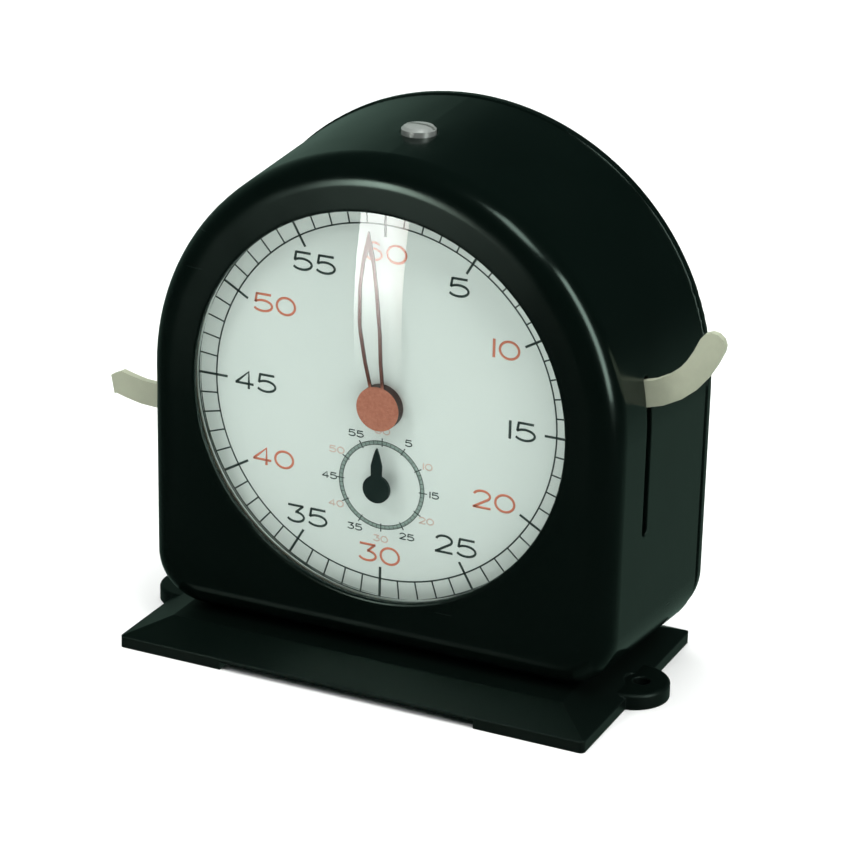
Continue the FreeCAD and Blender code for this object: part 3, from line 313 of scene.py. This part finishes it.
# ---------------------------------------------------------------- case moulding
# Compression-moulded phenolic, black with a faint green cast: the case and its
# plinth in one piece, the rear cover and the set knob. Polished, with a slight
# ripple in its gloss, rubbed edges and fine scratches, and satin on the plinth.
phenolic, tree, surface = new_material(
    "black_phenolic", IOR=1.5, Specular_Tint=(0.72, 1.0, 0.86, 1.0))
where = place_on(tree)
handled = effect(tree, handling, Vector=where, Scale=28.0)
rounded = shader_node(tree, "ShaderNodeBevel", Radius=0.0006)
rounded.samples = 4
own_normal = tree.nodes.new("ShaderNodeNewGeometry").outputs["Normal"]
along = tree.nodes.new("ShaderNodeVectorMath")
along.operation = "DOT_PRODUCT"
tree.links.new(rounded.outputs[0], along.inputs[0])
tree.links.new(own_normal, along.inputs[1])
edge = remap(tree, along.outputs["Value"], 0.995, 0.86)
rub = maths(tree, "MULTIPLY", edge, noise_on(tree, where, 260.0, 4.0))
flow = noise_on(tree, where, 35.0, 4.0)
moulded = tint(tree, flow, (0.0006, 0.0018, 0.0013), (0.0016, 0.0036, 0.0028))
feed(tree, surface, Base_Color=tint(tree, rub, moulded, (0.010, 0.017, 0.014)))
POLISHED, PLINTH_SATIN, PLINTH_TOP = 0.16, 0.40, 7.0 * MM
height = shader_node(tree, "ShaderNodeSeparateXYZ", Vector=where).outputs["Z"]
satin = remap(tree, height, PLINTH_TOP + 1.5 * MM, PLINTH_TOP, POLISHED, PLINTH_SATIN)
haze = maths(tree, "MULTIPLY_ADD", handled.outputs["Haze"], 0.08, satin)
feed(tree, surface, Roughness=maths(tree, "MULTIPLY_ADD", handled.outputs["Scratches"], 0.08, haze))
bumped(tree, surface, noise_on(tree, where, 50.0, 1.0), 0.10, 0.0005, rounded.outputs[0])
coat("case_shell", phenolic)
coat("rear_cover", phenolic)
coat("set_knob", phenolic)


# ---------------------------------------------------------------- nickelled metal
# The rocker lever, the crown screw, the cover screws and the winding key are
# steel with a satin nickel plate, slightly yellowed by age.
def nickel_finish(name, colour, roughness, centre=None, metallic=1.0):
    """Plate over a turned part round its centre, or over rolled strip without one."""
    material, tree, surface = new_material(name, Metallic=metallic)
    where = place_on(tree)
    handled = effect(tree, handling, Vector=where, Scale=70.0)
    dull = tuple(c * 0.82 for c in colour)
    feed(tree, surface, Base_Color=tint(tree, handled.outputs["Haze"], colour, dull))
    if centre is None:
        grained = effect(tree, rolled_grain, Vector=where, Stretch=(90.0, 3000.0, 3000.0))
    else:
        grained = effect(tree, lathe_rings, Vector=where, Centre=centre, Rings_per_metre=6000.0)
    grain = grained.outputs["Height"]
    rough = maths(tree, "MULTIPLY_ADD", grain, 0.10, roughness - 0.05)
    feed(tree, surface, Roughness=maths(tree, "MULTIPLY_ADD", handled.outputs["Haze"], 0.12, rough))
    bumped(tree, surface, grain, 0.10, 0.00008)
    return material


def middle(node_name):
    """The middle of a CAD node's box, which is on the axis of a turned part."""
    low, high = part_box(node_name)
    return (low + high) / 2


lever_nickel = nickel_finish("lever_nickel", (0.50, 0.535, 0.40), 0.38, metallic=0.3)
coat("rocker_lever", lever_nickel)
screw_nickel = nickel_finish("screw_nickel", (0.46, 0.50, 0.47), 0.34, metallic=0.6)
coat("top_screw", screw_nickel)
coat("rear_cover_screws", screw_nickel)
key_nickel = nickel_finish("key_nickel", (0.60, 0.61, 0.55), 0.34, middle("winding_key"), metallic=0.5)
coat("winding_key", key_nickel)


# ---------------------------------------------------------------- domed glass
# A slumped watch-glass of clear soda glass with a flat ground rim, held under
# the case's front lip. It has a breath of finger haze on its outside.
clear_glass, tree, surface = new_material(
    "clear_glass", IOR=1.5, Transmission_Weight=1.0, Base_Color=(0.965, 0.99, 0.98, 1.0))
where = place_on(tree)
handled = effect(tree, handling, Vector=where, Scale=45.0)
feed(tree, surface, Roughness=maths(tree, "MULTIPLY", handled.outputs["Haze"], 0.02))
path = tree.nodes.new("ShaderNodeLightPath")
lamp_rays = maths(tree, "MAXIMUM", path.outputs["Is Shadow Ray"], path.outputs["Is Diffuse Ray"])
bent_once = maths(tree, "LESS_THAN", path.outputs["Transparent Depth"], 0.5)
leaving = tree.nodes.new("ShaderNodeNewGeometry").outputs["Backfacing"]
outside_glass = maths(tree, "SUBTRACT", 1.0, maths(tree, "MULTIPLY", leaving, bent_once))
mirrored = maths(tree, "MULTIPLY", path.outputs["Is Glossy Ray"], outside_glass)
lamp_rays = maths(tree, "MAXIMUM", lamp_rays, mirrored)
through = shader_node(tree, "ShaderNodeBsdfTransparent", Color=(0.95, 0.975, 0.965, 1.0))
chosen = tree.nodes.new("ShaderNodeMixShader")
tree.links.new(lamp_rays, chosen.inputs[0])
tree.links.new(surface.outputs[0], chosen.inputs[1])
tree.links.new(through.outputs[0], chosen.inputs[2])
feed(tree, tree.nodes["Material Output"], Surface=chosen.outputs[0])

glass_low, glass_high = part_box("crystal")
GLASS_THICK, DOME_RADIUS = 1.5 * MM, 49.6 * MM
rim_front = glass_high.y - GLASS_THICK
dome_rise = rim_front - glass_low.y
dome_bend = (DOME_RADIUS ** 2 + dome_rise ** 2) / (2 * dome_rise)
bend_centre = Vector((0.0, glass_low.y + dome_bend, DIAL_Z))
shape = bmesh.new()
ends = []
for depth in (0.0, GLASS_THICK):
    pole = shape.verts.new((0.0, glass_low.y + depth, DIAL_Z))
    swept = bmesh.ops.spin(shape, geom=[pole], cent=bend_centre, axis=(0, 0, 1),
                           angle=math.asin(DOME_RADIUS / dome_bend), steps=20)
    ends.append(next(v for v in swept["geom_last"] if isinstance(v, bmesh.types.BMVert)))
rim = [ends[0], shape.verts.new((glass_high.x, rim_front, DIAL_Z)),
       shape.verts.new((glass_high.x, glass_high.y, DIAL_Z)), ends[1]]
for first, second in zip(rim, rim[1:]):
    shape.edges.new((first, second))
bmesh.ops.spin(shape, geom=shape.verts[:] + shape.edges[:], cent=(0.0, 0.0, DIAL_Z), axis=(0, 1, 0),
               angle=math.tau, steps=144, use_merge=True)
bmesh.ops.remove_doubles(shape, verts=shape.verts, dist=1e-6)
bmesh.ops.recalc_face_normals(shape, faces=shape.faces)
glass_mesh = bpy.data.meshes.new("domed_glass")
shape.to_mesh(glass_mesh)
shape.free()
glass_mesh.shade_smooth()
glass_mesh.set_sharp_from_angle(angle=math.radians(8))
glass_mesh.materials.append(clear_glass)
domed_glass = bpy.data.objects.new("domed_glass", glass_mesh)
scene.collection.objects.link(domed_glass)
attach(domed_glass, "case")
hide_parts("crystal")

gasket_cork, tree, surface = new_material("gasket_cork", Roughness=0.9)
crumbs = noise_on(tree, place_on(tree), 900.0, 4.0)
feed(tree, surface, Base_Color=tint(tree, crumbs, (0.16, 0.09, 0.05), (0.34, 0.22, 0.12)))
bumped(tree, surface, crumbs, 0.5, 0.0002)
coat("crystal_gasket", gasket_cork)

flange_metal, tree, surface = new_material("flange_metal", Metallic=1.0, Base_Color=(0.62, 0.66, 0.63, 1.0))
turned = effect(tree, lathe_rings, Vector=place_on(tree), Centre=(0.0, 0.0, DIAL_Z), Rings_per_metre=9000.0)
feed(tree, surface, Roughness=maths(tree, "MULTIPLY_ADD", turned.outputs["Height"], 0.12, 0.24))
bumped(tree, surface, turned.outputs["Height"], 0.1, 0.0001)
coat("flange_ring", flange_metal)


# ---------------------------------------------------------------- dial
# A flat metal disc sprayed a pale silvery white, faintly clouded by age, with
# the fine pebble of a sprayed finish.
dial_paint, tree, surface = new_material("dial_paint", Specular_IOR_Level=0.35)
where = place_on(tree)
pebble = noise_on(tree, where, 2600.0, 2.0)
cloud = noise_on(tree, where, 30.0, 4.0)
aged = tint(tree, cloud, (0.70, 0.755, 0.72), (0.76, 0.80, 0.765))
pits = remap(tree, pebble, 0.3, 0.9, 0.0, 0.25)
feed(tree, surface, Base_Color=tint(tree, pits, aged, (0.60, 0.65, 0.62)),
     Roughness=maths(tree, "MULTIPLY_ADD", pebble, 0.15, 0.42))
bumped(tree, surface, pebble, 0.15, 0.00005)
coat("dial_plate", dial_paint)


# ---------------------------------------------------------------- printed seconds track and numerals
# Screen-printed in thick ink, black for the odd fives and red for the tens:
# a track of sixty divisions between two circles, with upright wide numerals.
def printed_ink(name, colour, fade):
    """Slightly grained ink that goes from its colour to a thinner, faded one."""
    material, tree, surface = new_material(name, Specular_IOR_Level=0.4)
    grain = noise_on(tree, place_on(tree), 3500.0, 3.0)
    feed(tree, surface, Base_Color=tint(tree, grain, colour, fade),
         Roughness=maths(tree, "MULTIPLY_ADD", grain, 0.2, 0.45))
    bumped(tree, surface, grain, 0.2, 0.00002)
    return material


black_ink = printed_ink("black_ink", (0.016, 0.034, 0.030), (0.05, 0.075, 0.066))
red_ink = printed_ink("red_ink", (0.62, 0.145, 0.075), (0.70, 0.26, 0.17))
INK_HEIGHT = 0.03 * MM


def arc(cx, cz, rx, rz, start, end, steps=14):
    """Points along part of an oval, angles in degrees from the right, upwards."""
    turn = [math.radians(start + (end - start) * i / steps) for i in range(steps + 1)]
    return [(cx + rx * math.cos(t), cz + rz * math.sin(t)) for t in turn]


# digit: width, then its pen strokes, all for a height of one
PEN_DIGITS = {
    "0": (1.15, [arc(0.575, 0.5, 0.575, 0.5, 90, 450, 28)]),
    "1": (0.12, [[(0.06, -0.04), (0.06, 1.04)]]),
    "2": (1.05, [arc(0.52, 0.71, 0.49, 0.29, 168, -38) + [(0.04, 0.0)], [(-0.03, 0.0), (1.07, 0.0)]]),
    "3": (1.05, [[(0.0, 1.0), (1.0, 1.0)], [(0.96, 1.0), (0.52, 0.60)],
                 arc(0.49, 0.30, 0.54, 0.30, 92, -158, 18)]),
    "4": (1.10, [[(0.82, -0.04), (0.82, 1.0), (0.0, 0.27)], [(-0.04, 0.27), (1.13, 0.27)]]),
    "5": (1.15, [[(1.07, 1.0), (0.14, 1.0)], [(0.17, 1.04), (0.08, 0.50)],
                 arc(0.54, 0.32, 0.60, 0.32, 142, -152, 18)]),
    "6": (1.12, [arc(0.60, 0.50, 0.56, 0.50, 52, 180, 12) + [(0.04, 0.32)],
                 arc(0.56, 0.32, 0.52, 0.32, 90, 450, 24)]),
}
DIGIT_GAP = 0.29


def number_strokes(text, x, z, height):
    """Pen strokes of a number centred on a place, in millimetres on the dial."""
    width = sum(PEN_DIGITS[d][0] for d in text) + DIGIT_GAP * (len(text) - 1)
    left, strokes = -width / 2, []
    for digit in text:
        wide, pens = PEN_DIGITS[digit]
        strokes += [[(x + (left + px) * height, z + (pz - 0.5) * height) for px, pz in pen] for pen in pens]
        left += wide + DIGIT_GAP
    return strokes


def printed(name, lines, material, centre_z, layers=1.0):
    """A flattened bead of ink along each (points, width) line on the dial."""
    whole = bmesh.new()
    for points, width in lines:
        curve = bpy.data.curves.new("pen", "CURVE")
        curve.dimensions = "3D"
        closed = math.dist(points[0], points[-1]) < 1e-6
        spline = curve.splines.new("POLY")
        kept = points[:-1] if closed else points
        spline.points.add(len(kept) - 1)
        for point, (x, z) in zip(spline.points, kept):
            point.co = (x, 0.0, z, 1.0)
        spline.use_cyclic_u = closed
        curve.bevel_depth = width / 2
        curve.bevel_resolution = 1
        curve.use_fill_caps = True
        pen = bpy.data.objects.new("pen", curve)
        whole.from_mesh(bpy.data.meshes.new_from_object(pen))
        bpy.data.objects.remove(pen)
        bpy.data.curves.remove(curve)
    for vertex in whole.verts:
        side = vertex.co.y
        vertex.co = Vector((vertex.co.x * MM, DIAL_FACE_Y, centre_z + vertex.co.z * MM))
        if side < -1e-4:
            vertex.co.y -= INK_HEIGHT * layers
    mesh = bpy.data.meshes.new(name)
    whole.to_mesh(mesh)
    whole.free()
    mesh.materials.append(material)
    piece = bpy.data.objects.new(name, mesh)
    scene.collection.objects.link(piece)
    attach(piece, "case")
    return piece


def on_dial(seconds, radius):
    """A place on the dial, by its division out of sixty and its radius."""
    turn = math.radians(6.0 * seconds)
    return (radius * math.sin(turn), radius * math.cos(turn))


TRACK_IN, TRACK_OUT, FIVES_IN = 46.0, 50.65, 42.9
FINE_LINE, FIVES_LINE = 0.46, 0.72
lines = [(arc(0, 0, r, r, 0, 360, 180), FINE_LINE) for r in (TRACK_IN, TRACK_OUT)]
for second in range(60):
    if second % 5:
        lines.append(([on_dial(second, TRACK_IN), on_dial(second, TRACK_OUT)], FINE_LINE))
    else:
        lines.append(([on_dial(second, FIVES_IN), on_dial(second, TRACK_OUT)], FIVES_LINE))
printed("seconds_track_print", lines, black_ink, DIAL_Z)

NUMERAL_HEIGHT, NUMERAL_PEN = 4.35, 0.72
NUMERAL_PLACES = {
    5: (19.6, 33.4), 10: (32.2, 19.9), 15: (37.0, 0.0), 20: (30.2, -19.4),
    25: (20.4, -33.2), 30: (-0.3, -39.6), 35: (-20.4, -33.2), 40: (-30.0, -19.4),
    45: (-35.0, 0.0), 50: (-29.8, 21.0), 55: (-19.0, 33.4), 60: (0.0, 39.0),
}
for name, ink, wanted in (("black_numerals_print", black_ink, 5), ("red_numerals_print", red_ink, 0)):
    lines = [(stroke, NUMERAL_PEN) for number, (x, z) in NUMERAL_PLACES.items() if number % 10 == wanted
             for stroke in number_strokes(str(number), x, z, NUMERAL_HEIGHT)]
    printed(name, lines, ink, DIAL_Z)


# ---------------------------------------------------------------- printed minute recorder
# The small dial that counts whole minutes: a fine double circle of sixty
# divisions, with small numerals round the outside in the same two inks.
RECORDER_Z = 0.050
pale_red_ink = printed_ink("pale_red_ink", (0.70, 0.48, 0.40), (0.72, 0.56, 0.49))
grey_ink = printed_ink("grey_ink", (0.25, 0.33, 0.29), (0.34, 0.42, 0.38))
RING_IN, RING_OUT, RING_FIVES_IN, RING_FIVES_OUT = 10.6, 11.6, 10.2, 12.4
RECORDER_NUMERALS, RECORDER_HEIGHT, RECORDER_PEN = 14.3, 1.55, 0.34
band = arc(0, 0, (RING_IN + RING_OUT) / 2, (RING_IN + RING_OUT) / 2, 0, 360, 96)
printed("recorder_band_print", [(band, 0.95)], grey_ink, RECORDER_Z)
lines = [(arc(0, 0, r, r, 0, 360, 96), 0.16) for r in (RING_IN, RING_OUT)]
for minute in range(60):
    if minute % 5:
        lines.append(([on_dial(minute, RING_IN), on_dial(minute, RING_OUT)], 0.14))
    else:
        lines.append(([on_dial(minute, RING_FIVES_IN), on_dial(minute, RING_FIVES_OUT)], 0.30))
printed("recorder_ring_print", lines, black_ink, RECORDER_Z, 1.6)
for name, ink, wanted in (("recorder_black_print", black_ink, 5), ("recorder_red_print", pale_red_ink, 0)):
    lines = [(stroke, RECORDER_PEN) for number in range(5, 65, 5) if number % 10 == wanted
             for stroke in number_strokes(str(number), *on_dial(number, RECORDER_NUMERALS), RECORDER_HEIGHT)]
    printed(name, lines, ink, RECORDER_Z)


# ---------------------------------------------------------------- hands
# The sweep hand is a skeleton lance on a large flat boss, sprayed with copper
# lacquer; its blades are painted dark brown and its cut sides near-black as
# painted shade. The minute hand is a small slate-black spade on a round boss.
copper, tree, surface = new_material("copper_lacquer", Metallic=0.25)
where = place_on(tree)
speckle = noise_on(tree, where, 1500.0, 4.0)
speckled_copper = tint(tree, speckle, (0.38, 0.105, 0.060), (0.64, 0.26, 0.17))
up = shader_node(tree, "ShaderNodeSeparateXYZ", Vector=where).outputs["Z"]
BOSS_EDGE = 5.0 * MM
# painted shade: the blades beyond the boss are painted dark brown, the same copper as the boss shown in
# shade
blade_shade_mask = remap(tree, up, DIAL_Z + BOSS_EDGE, DIAL_Z + BOSS_EDGE + 1.8 * MM)
blades_in_painted_shade = tint(tree, blade_shade_mask, speckled_copper, (0.15, 0.045, 0.028))
# painted shade: faces turned sideways, the boss's rim and the blades' cut sides, are painted near-black
# brown
own_normal = tree.nodes.new("ShaderNodeNewGeometry").outputs["True Normal"]
turned_away = shader_node(tree, "ShaderNodeSeparateXYZ", Vector=own_normal)
side_shade_mask = remap(tree, maths(tree, "ABSOLUTE", turned_away.outputs["Y"]), 0.7, 0.4)
feed(tree, surface, Base_Color=tint(tree, side_shade_mask, blades_in_painted_shade, (0.030, 0.011, 0.008)),
     Roughness=maths(tree, "MULTIPLY_ADD", speckle, 0.2, 0.36))
bumped(tree, surface, speckle, 0.25, 0.00006)
coat("seconds_hand", copper)

slate, tree, surface = new_material("slate_lacquer", Specular_IOR_Level=0.2)
speckle = noise_on(tree, place_on(tree), 1800.0, 3.0)
feed(tree, surface, Base_Color=tint(tree, speckle, (0.004, 0.012, 0.010), (0.010, 0.022, 0.019)),
     Roughness=maths(tree, "MULTIPLY_ADD", speckle, 0.2, 0.45))
bumped(tree, surface, speckle, 0.2, 0.00004)
coat("minute_hand", slate)


# ---------------------------------------------------------------- movement
# Rolled brass plates and turned brass wheels on steel arbors, with blued or
# bright spring steel. Each wheel is finished round its own axis.
def metal_finish(name, light, dark, roughness, centre=None):
    """Bare metal, turned round its centre, or rolled and grained without one."""
    material, tree, surface = new_material(name, Metallic=1.0)
    where = place_on(tree)
    if centre is None:
        grained = effect(tree, rolled_grain, Vector=where, Stretch=(2500.0, 2500.0, 80.0))
    else:
        grained = effect(tree, lathe_rings, Vector=where, Centre=centre, Rings_per_metre=7000.0)
    grain = grained.outputs["Height"]
    stain = effect(tree, handling, Vector=where, Scale=60.0).outputs["Haze"]
    feed(tree, surface, Base_Color=tint(tree, stain, light, dark),
         Roughness=maths(tree, "MULTIPLY_ADD", grain, 0.15, roughness))
    bumped(tree, surface, grain, 0.12, 0.0001)
    return material


plate_brass = metal_finish("plate_brass", (0.72, 0.53, 0.25), (0.50, 0.34, 0.15), 0.22)
for node_name in ("front_plate", "back_plate", "plate_pillars", "dial_feet", "recorder_bridge",
                  "bridge_posts"):
    coat(node_name, plate_brass)
for node_name in ("centre_wheel", "second_wheel", "mainspring_barrel", "barrel_lid", "escape_wheel",
                  "balance_wheel", "recorder_wheel", "minute_wheel"):
    coat(node_name, metal_finish(node_name + "_brass", (0.76, 0.56, 0.26), (0.55, 0.38, 0.17), 0.18,
                                 middle(node_name)))
screw_steel = metal_finish("screw_steel", (0.50, 0.50, 0.50), (0.34, 0.33, 0.32), 0.2)
for node_name in ("dial_feet_screws", "pillar_screws", "movement_screws", "bracket_screw",
                  "lever_pivot_screw", "detent_screw", "click_screw", "bridge_screws", "brake_finger",
                  "top_bracket"):
    coat(node_name, screw_steel)
for node_name in ("centre_arbor", "second_arbor", "barrel_arbor", "ratchet_wheel", "click",
                  "escape_arbor", "pallet_lever", "balance_staff", "recorder_arbor", "minute_arbor"):
    coat(node_name, metal_finish(node_name + "_steel", (0.54, 0.54, 0.54), (0.38, 0.37, 0.36), 0.16,
                                 middle(node_name)))
spring_blue = metal_finish("spring_blue", (0.10, 0.14, 0.30), (0.16, 0.13, 0.20), 0.2)
for node_name in ("mainspring", "hairspring", "detent_spring", "click_spring"):
    coat(node_name, spring_blue)
